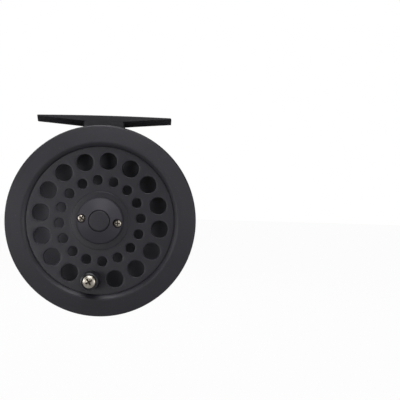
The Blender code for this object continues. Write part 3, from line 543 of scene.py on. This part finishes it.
def makeFoot():
    # ring of one slice: share of the half width, of the side's height, and of the height below the side
    u = np.linspace(0, 1, foot["sidePoints"])
    lower = foot["keel"] + (1 - foot["keel"]) * (1 - u)
    flat = np.ones(foot["keelPoints"])
    inward = np.linspace(foot["keel"], 0, foot["keelPoints"] + 1)[1:]
    width = bothSides(np.concatenate([foot["lip"], lower, inward]), -1)
    upright = bothSides(np.concatenate([foot["lipDrop"], np.ones(foot["sidePoints"]), flat]))
    below = bothSides(np.concatenate([np.zeros(len(foot["lip"])), u, flat]))
    x = np.linspace(-1, 1, foot["slices"]) * (foot["half"] - foot["endRound"])
    share = np.clip((foot["half"] - abs(x)) / (foot["half"] - foot["root"]), 0, 1)
    half = foot["tipWidth"] + (foot["width"] - foot["tipWidth"]) * share
    thick = foot["tipThick"] + (foot["thick"] - foot["tipThick"]) * share
    side = thick - foot["slope"]
    y = half[:, None] * width
    bow = foot["bow"] * (x / foot["half"])[:, None] ** 2  # the ends droop a little
    z = -(side[:, None] * upright + (thick - side)[:, None] * below) - bow
    slices = np.stack([np.broadcast_to(x[:, None], y.shape), y, z], -1)
    # ends: rows round off by a quarter turn, and the last one closes in the middle
    turn = np.linspace(0, 1, foot["endRows"] + 1)[1:, None, None] * math.pi / 2
    shrink = 1 - foot["endShrink"] * (1 - np.cos(turn))
    shrink[-1] = 0
    ends = []
    for row, sign in ((slices[0], -1), (slices[-1], 1)):
        middle = row.mean(0)
        end = middle + (row - middle)[None] * shrink
        end[..., 0] = row[:, 0] + sign * foot["endRound"] * np.sin(turn[..., 0])
        ends.append(end)
    legs = np.concatenate([ends[0][::-1], slices, ends[1]])
    piece = meshPiece("reelFoot", [(legs, False, True)], sharp=28)
    # pedestal: rounded-rectangle slices from inside the legs down past the saddle, its front running on from theirs
    drop = np.linspace(foot["pedestalTop"], foot["pedestalEnd"], foot["pedestalRows"])[:, None]
    turn, power = around(foot["pedestalPoints"]), foot["squareness"]
    cos, sin = np.cos(turn), np.sin(turn)
    square = (abs(cos) ** power + abs(sin) ** power) ** (-1 / power)
    x, y = foot["pedestalHalf"] * cos * square, foot["pedestalDepth"] * sin * square
    slab = np.stack(np.broadcast_arrays(x, y, drop), -1)
    pedestal = meshPiece("pedestalForm", [(capped(slab), False, True)])
    bored(piece, [pedestal], "UNION")
    saddle = drill("saddleForm", foot["saddleR"], -foot["cut"], foot["cut"], spoolAxis, steps=288)
    # relief: clears the turning rim
    relief = drill("reliefForm", foot["reliefR"], -foot["cut"], foot["reliefBack"], spoolAxis, steps=288)
    fit(bored(piece, [saddle, relief]), "frame", graphiteFoot, "moulded_graphite", "reel_foot")


# Back plate: bevelled cover with a faint ring where the spindle's boss sits behind it
plate = {"radius": 40.8, "flatR": 34.4, "face": 15.0, "inside": 13.0, "insideR": 33.4, "edge": 10.4, "bevelIn": 0.5,
         "bevelY": 12.1, "wallY": 11.5, "lipR": 35.4, "lipY": 11.6, "ringR": 7.7, "ringHalf": 0.35, "ringDepth": 0.05,
         "bossR": 7.7, "bossFront": 11.9, "socketR": 3.3, "socketEnd": 14.0, "knobHoleR": 2.8, "cut": (11, 17)}


def makePlate():
    ringR, ringHalf, outer = plate["ringR"], plate["ringHalf"], plate["face"]
    corners = [(0, outer), (ringR - ringHalf, outer, 0.2), (ringR, outer - plate["ringDepth"], 0.2),
               (ringR + ringHalf, outer, 0.2), (plate["flatR"], outer, 1.6),
               (plate["radius"] - plate["bevelIn"], plate["bevelY"], 0.5), (plate["radius"], plate["wallY"], 0.4),
               (plate["radius"], plate["edge"], 0.25), (plate["lipR"], plate["edge"]), (plate["lipR"], plate["lipY"]),
               (plate["insideR"], plate["inside"]), (plate["bossR"], plate["inside"]),
               (plate["bossR"], plate["bossFront"]), (plate["socketR"], plate["bossFront"]),
               (plate["socketR"], plate["socketEnd"]), (0, plate["socketEnd"])]
    cover = lathe("backPlate", filleted(corners, steps=9), spoolAxis, steps=288, sharp=40)
    hole = drill("knobHole", plate["knobHoleR"], *plate["cut"], knobAxis)
    fit(bored(cover, [hole]), "frame", graphite, "moulded_graphite", "back_plate")


# Drag knob: a dome whose lower left is cut down along a straight line, leaving a step for the thumb
knob = {"radius": 9.0, "top": 20.4, "edge": 17.3, "foot": 15.3, "power": 2.6, "edgeIn": 0.25, "edgeRise": 0.2,
        "edgeFall": 0.3, "step": 3.2, "stepCrown": 0.5, "stepEase": 0.14, "offset": 3.4, "angle": math.radians(221),
        "hollowR": 5.2, "hollow": 16.8, "shaftR": 2.5, "shaftEnd": 9.7, "screwR": 1.1, "screwEnd": 14.0,
        "rows": 96, "steps": 256}


def makeKnob():
    edgeR = knob["radius"] - knob["edgeIn"]
    r = np.linspace(0, 1, knob["rows"])[:, None] * edgeR
    turn = around(knob["steps"])[None]
    dome = knob["top"] - (knob["top"] - knob["edge"]) * (r / knob["radius"]) ** knob["power"]
    floor = knob["top"] - knob["step"] + knob["stepCrown"] * (1 - (r / knob["radius"]) ** 2)
    floor = np.minimum(dome, floor)
    # distance to the lower left of the step's line, as seen from behind
    along = r * (np.sin(turn) * -math.cos(knob["angle"]) + np.cos(turn) * math.sin(knob["angle"]))
    low = smooth(knob["offset"] - knob["stepEase"], knob["offset"] + knob["stepEase"], along)
    y = dome * (1 - low) + floor * low
    upper = np.stack([knobAxis[0] + r * np.sin(turn), y, knobAxis[1] + r * np.cos(turn)], -1)
    rest = filleted([(edgeR, knob["edge"] + knob["edgeRise"]),
                     (knob["radius"], knob["edge"] - knob["edgeFall"], 0.2), (knob["radius"], knob["foot"], 0.25),
                     (knob["hollowR"], knob["foot"], 0.1), (knob["hollowR"], knob["hollow"]),
                     (knob["shaftR"], knob["hollow"]), (knob["shaftR"], knob["shaftEnd"]),
                     (knob["screwR"], knob["shaftEnd"]), (knob["screwR"], knob["screwEnd"]), (0, knob["screwEnd"])])
    lower = spun(rest, knobAxis, knob["steps"])
    lower[0] = upper[-1]
    piece = meshPiece("dragKnob", [(upper, False, True), (lower, False, True)])
    fit(piece, "drag", graphite, "moulded_graphite", "drag_knob")


# Cage: turned ring and wall with windows cut through it
cage = {"inR": 38.6, "outR": 40.4, "ringR": 41.0, "front": -8.3, "ringBack": -6.2, "wallFront": -5.8, "back": 10.1,
        "rearInR": 34.9, "rearFront": 8.6, "longest": 1.0, "windows": ((-52, -12), (-101, -58), (-168, -108)),
        "windowFront": -6.0, "windowBack": 8.3, "windowCorner": 1.2, "windowPoints": 200, "lidRows": 12,
        "cutR": (37.0, 44.0)}


def makeCage():
    corners = [(cage["inR"], cage["front"], 0.3), (cage["ringR"], cage["front"], 0.4),
               (cage["ringR"], cage["ringBack"], 0.2), (cage["outR"], cage["wallFront"], 0.2),
               (cage["outR"], cage["back"], 0.25), (cage["rearInR"], cage["back"]),
               (cage["rearInR"], cage["rearFront"], 0.3), (cage["inR"], cage["rearFront"], 0.3)]
    profile = evenly(filleted(corners, steps=5), cage["longest"])
    wall = lathe("cageWall", profile, spoolAxis, steps=288)
    cutters = [windowForm(f"window{i}", math.radians(low), math.radians(high))
               for i, (low, high) in enumerate(cage["windows"])]
    fit(bored(wall, cutters), "frame", enamel, "black_enamel", "cage")


def windowForm(name, low, high):
    # a rounded window wrapped on the cage: outline (angle, y) filleted, carried from inside to outside the wall
    scale, corner, front, back = (cage[key] for key in ("outR", "windowCorner", "windowFront", "windowBack"))
    outline = filleted([(low * scale, front, corner), (high * scale, front, corner),
                        (high * scale, back, corner), (low * scale, back, corner)], steps=8)
    even = walkedEvenly(np.concatenate([outline, outline[:1]]), cage["windowPoints"], False)
    angle, y = even[:, 0] / scale, even[:, 1]
    # lids shrink to the middle of the outline, staying on the cylinder
    share = np.linspace(0, 1, cage["lidRows"])[:, None]
    a = angle.mean() + (angle - angle.mean()) * share
    b = y.mean() + (y - y.mean()) * share
    inner, outer = (np.stack([spoolAxis[0] + r * np.cos(a), b, spoolAxis[1] + r * np.sin(a)], -1)
                    for r in cage["cutR"])
    return meshPiece(name, [(np.concatenate([inner, outer[::-1]]), False, True)])


# Line guard: a bent rod, a closed loop with rounded corners wrapped round the bottom of the cage
guard = {"radius": 40.9, "rod": 0.9, "front": -3.4, "back": 5.6, "from": math.radians(-104.5),
         "to": math.radians(-55.0), "corner": 1.7, "perRun": 10, "steps": 24}


def makeGuard():
    scale, corner = guard["radius"], guard["corner"]
    low, high = guard["from"] * scale, guard["to"] * scale
    outline = filleted([(low, guard["front"], corner), (high, guard["front"], corner),
                        (high, guard["back"], corner), (low, guard["back"], corner)], steps=12)
    runs = zip(outline, np.roll(outline, -1, 0))
    route = np.concatenate([np.linspace(a, b, guard["perRun"], endpoint=False) for a, b in runs])
    angle, y = route[:, 0] / scale, route[:, 1]
    out = np.stack([np.cos(angle), np.zeros_like(angle), np.sin(angle)], -1)
    path = np.stack([spoolAxis[0] + scale * out[:, 0], y, spoolAxis[1] + scale * out[:, 2]], -1)
    ahead = np.roll(path, -1, 0) - np.roll(path, 1, 0)
    rod = tube(path, ahead, out, guard["rod"], guard["steps"])
    fit(meshPiece("lineGuard", [(rod, True, True)], sharp=80), "frame", chrome, "chrome", "line_guard")


# Springs: the latch's coil and the pawl's leaf
springs = {"coilR": 0.62, "wire": 0.17, "turns": 5, "coilY": -11.6, "coilFrom": 5.2, "coilTo": 8.7, "coilKeep": 0.7,
           "perTurn": 48, "wireSteps": 12,
           "leafX": -13.55, "leafFront": 8.6, "leafBack": 12.7, "leafRoot": 0.5, "leafThin": 0.25,
           "leafEnd": (-2.45, 13.6), "leafBend": 2.2, "leafKink": -1.0, "leafTip": (-0.4, -1.7), "leafEase": 0.1,
           "leafPoints": 90, "bendFrom": 12.5, "bendTo": 2.0}


def makeCoil():
    # helix of coilR along the latch's travel, with a round wire swept along it
    turn = np.linspace(0, fullTurn * springs["turns"], springs["perTurn"] * springs["turns"])
    out = np.stack([np.cos(turn), np.sin(turn), np.zeros_like(turn)], -1)
    path = springs["coilR"] * out
    path[:, 1] += springs["coilY"]
    path[:, 2] = np.linspace(springs["coilFrom"], springs["coilTo"], len(turn))
    wire = tube(path, np.gradient(path, axis=0), out, springs["wire"], springs["wireSteps"])
    x, z = onSpool(wire[..., 0], wire[..., 2])
    coil = meshPiece("latchSpring", [(capped(np.stack([x, wire[..., 1], z], -1)), False, True)], sharp=60)
    fit(coil, "spool", steel, "steel", "latch_spring")
    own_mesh(coil)


def makeLeaf():
    # middle line of (x, z) points with rounded corners, walked evenly; a flat section with eased edges follows it
    x, ease = springs["leafX"], springs["leafEase"]
    (endX, endZ), (tipX, tipZ) = springs["leafEnd"], springs["leafTip"]
    bends = filleted([(x + endX, endZ), (x, springs["leafBend"], 8.0), (x, springs["leafKink"], 0.5),
                      (x + tipX, tipZ)], steps=16)
    line = walkedEvenly(bends, springs["leafPoints"], True)
    ahead = np.gradient(line, axis=0)
    ahead /= np.linalg.norm(ahead, axis=1)[:, None]
    aside = np.stack([-ahead[:, 1], ahead[:, 0]], -1)
    half = np.interp(line[:, 1], [springs["leafBend"], endZ], [springs["leafThin"], springs["leafRoot"]])
    share = np.array([1, 1, 0.6, -0.6, -1, -1, -0.6, 0.6])
    front, back = springs["leafFront"], springs["leafBack"]
    y = np.array([front + ease, back - ease, back, back, back - ease, front + ease, front, front])
    flat = line[:, None] + aside[:, None] * (half[:, None] * share)[..., None]
    across = np.broadcast_to(y, flat.shape[:2])
    rows = np.stack([spoolAxis[0] + flat[..., 0], across, spoolAxis[1] + flat[..., 1]], -1)
    leaf = meshPiece("pawlSpring", [(capped(rows), False, True)], sharp=40)
    leaf.data.materials.append(steel)
    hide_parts("pawl_spring")
    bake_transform(leaf)


makeRim()
makeFace()
makeArbor()
makeHub()
makeHandle()
makeCoil()
print("spool pieces made")
makeFoot()
makePlate()
makeKnob()
makeCage()
makeGuard()
makeLeaf()
print("frame pieces made")

# Inner pieces keep their solids and get their finishes
carried = {"steel": (steel, ["spindle", "pawl_post", "drag_cam_screw", "spool_latch",
                             "cage_screw_1", "cage_screw_2", "cage_screw_3", "cage_screw_4"]),
           "nickel": (nickel, ["foot_screw_left", "foot_screw_right", "handle_sleeve"]),
           "brass": (brass, ["spool_bush", "click_gear", "handle_insert", "drag_cam", "click_pawl"]),
           "rubber": (rubber, ["knob_o_ring"]),
           "lining": (lining, ["brake_pad"])}
for finish, names in carried.values():
    for name in names:
        slots = frame["nodes"][name].data.materials
        slots.clear()
        slots.append(finish)
print("carried pieces finished")

# Camera: straight at the drilled face, the hub left of the middle and a little below it, slightly rolled
shot = {"pixel": 0.4484, "distance": 500.0, "hub": (99.9, 220.8), "middle": 200.0, "roll": math.radians(1.65),
        "size": 400, "facePlane": -10.0, "sensor": 36}


def makeCamera():
    right = np.array([math.cos(shot["roll"]), 0, math.sin(shot["roll"])])
    up = np.array([-math.sin(shot["roll"]), 0, math.cos(shot["roll"])])
    aim = np.array([spoolAxis[0], shot["facePlane"], spoolAxis[1]])
    place = aim + right * (shot["middle"] - shot["hub"][0]) * shot["pixel"]
    place = place + up * (shot["hub"][1] - shot["middle"]) * shot["pixel"] - np.array([0, shot["distance"], 0])
    lens = bpy.data.cameras.new("camera")
    lens.sensor_width = shot["sensor"]
    lens.lens = shot["sensor"] * shot["distance"] / (shot["pixel"] * shot["size"])
    lens.clip_start, lens.clip_end = 0.01, 50
    camera = bpy.data.objects.new("camera", lens)
    bpy.context.scene.collection.objects.link(camera)
    turn = Matrix((right, up, (0, -1, 0))).transposed()
    camera.matrix_world = Matrix.Translation(place * mm) @ turn.to_4x4()
    bpy.context.scene.camera = camera


# Light, in metres: a broad soft box above, weaker lamps to the left and right, one low that reaches in through the
# left window, one behind, and a small one inside, behind the left holes, for the light that gets there
lamps = {"key": {"place": (0.02, -0.40, 0.65), "size": 0.6, "watts": 4.55},
         "left": {"place": (-0.30, -0.9, -0.10), "size": 0.2, "watts": 1.03},
         "side": {"place": (-0.55, -0.34, 0.02), "size": 0.3, "watts": 1.0},
         "low": {"place": (-0.52, -0.30, -0.36), "size": 0.25, "watts": 6.0},
         "right": {"place": (0.34, -0.7, 0.08), "size": 0.3, "watts": 0.42},
         "far": {"place": (0.60, -0.30, -0.02), "size": 0.3, "watts": 0.9},
         "inner": {"place": (-0.0265, -0.0075, -0.0492), "aim": (-0.0265, 0.1, -0.0492), "size": 0.010,
                   "tall": 0.054, "watts": 0.0013},
         "back": {"place": (-0.2, 0.8, 0.6), "size": 0.7, "watts": 7.0}}


def makeLights():
    target = np.array([0, 0, spoolAxis[1] * mm])
    for name, lamp in lamps.items():
        light = bpy.data.lights.new(name, "AREA")
        light.shape, light.size, light.size_y = "RECTANGLE", lamp["size"], lamp.get("tall", lamp["size"])
        light.energy = lamp["watts"]
        light.color = (0.97, 0.955, 1.0)  # a little cool, as in the picture
        holder = bpy.data.objects.new(name, light)
        bpy.context.scene.collection.objects.link(holder)
        back = np.array(lamp["place"]) - np.array(lamp.get("aim", target))
        back /= np.linalg.norm(back)
        side = np.cross((0, 0, 1), back)
        side /= np.linalg.norm(side)
        turn = Matrix((side, np.cross(back, side), back)).transposed()
        holder.matrix_world = Matrix.Translation(lamp["place"]) @ turn.to_4x4()


def seenDirectly(tree):  # 1 where the camera looks at it, straight or through something clear
    path = addNode(tree, "ShaderNodeLightPath").outputs
    return addNode(tree, "ShaderNodeMath", {0: path["Is Camera Ray"], 1: path["Is Transmission Ray"]},
                   operation="MAXIMUM").outputs[0]


# Room: white to the camera, and a weak even light that is stronger from above
room = {"span": (-0.8, 0.9), "light": (0.05, 0.22), "shown": 1.0}


def makeRoom():
    world = bpy.data.worlds.new("white_room")
    bpy.context.scene.world = world
    world.use_nodes = True
    tree = world.node_tree
    tree.nodes.clear()
    coords = addNode(tree, "ShaderNodeTexCoord").outputs["Generated"]
    height = addNode(tree, "ShaderNodeSeparateXYZ", {"Vector": coords}).outputs["Z"]
    level = ranged(tree, height, room["span"], room["light"])
    seen = seenDirectly(tree)
    strength = addNode(tree, "ShaderNodeMix", {"Factor": seen, "A": level, "B": room["shown"]},
                       data_type="FLOAT").outputs[0]
    shown = addNode(tree, "ShaderNodeBackground", {"Color": (1, 1, 1, 1), "Strength": strength})
    addNode(tree, "ShaderNodeOutputWorld", {"Surface": shown.outputs[0]})


# Floor, in metres: matt paper below the reel, shown almost white
paper = {"drop": -0.150, "half": 6, "colour": "#a8a8a8", "rough": 0.9, "glow": 0.97}


def makeFloor():
    size = np.linspace(-paper["half"], paper["half"], 2)
    x, y = np.meshgrid(size, size, indexing="ij")
    floor = meshPiece("floor", [(np.stack([x, y, np.full_like(x, paper["drop"])], -1) / mm, False, False)])
    made, tree, shader = newFinish("matt_white_paper")[:3]
    shader.inputs["Base Color"].default_value = linear(paper["colour"])
    shader.inputs["Roughness"].default_value = paper["rough"]
    seen = seenDirectly(tree)
    share = addNode(tree, "ShaderNodeMath", {0: seen, 1: paper["glow"]}, operation="MULTIPLY").outputs[0]
    glow = addNode(tree, "ShaderNodeEmission", {"Color": (1, 1, 1, 1), "Strength": 1.0})
    both = addNode(tree, "ShaderNodeMixShader", {0: share, 1: shader.outputs[0], 2: glow.outputs[0]})
    link(tree, both.outputs[0], tree.nodes["Material Output"], "Surface")
    floor.data.materials.append(made)


makeCamera()
makeLights()
makeRoom()
makeFloor()
bpy.context.scene.view_settings.view_transform = "Standard"
print("camera, light and floor set")
